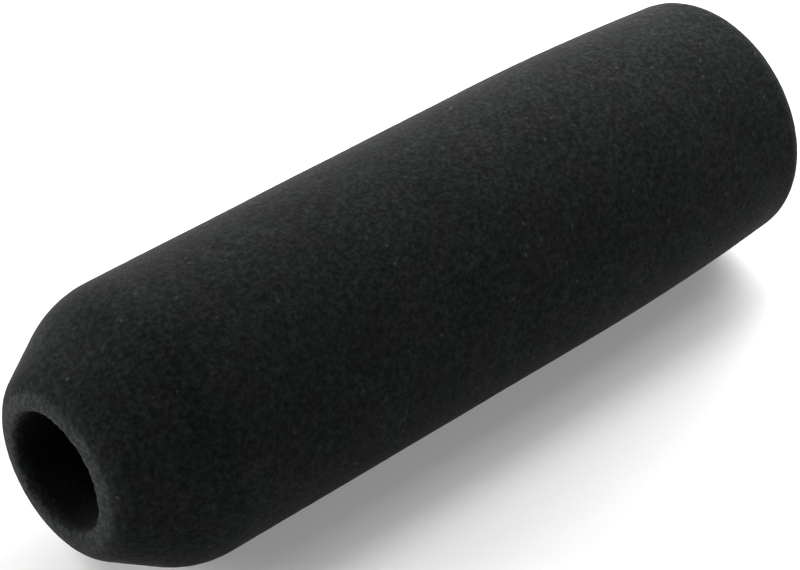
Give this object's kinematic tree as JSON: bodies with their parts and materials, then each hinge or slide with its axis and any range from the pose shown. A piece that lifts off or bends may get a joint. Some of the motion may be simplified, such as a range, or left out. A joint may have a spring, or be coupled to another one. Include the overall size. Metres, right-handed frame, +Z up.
{
  "type": "foam microphone windscreen",
  "caption": "Long round foam windscreen for a shotgun microphone, with a coned mouth, a rounded nose and a blind bore that grips the microphone's tube.",
  "frame": {"origin": "centre of the bore's mouth, on the bore's axis, in the plane of the mouth", "axes": "+X along the bore's axis from the mouth to the closed nose, +Z up; the part is shown lying on its side"},
  "size_m": [0.145, 0.046, 0.046],
  "materials": {
    "foam": "matt black open-cell polyurethane foam with fine open pores"
  },
  "bodies": {
    "root": {"foam_body": "foam"}
  },
  "joints": []
}
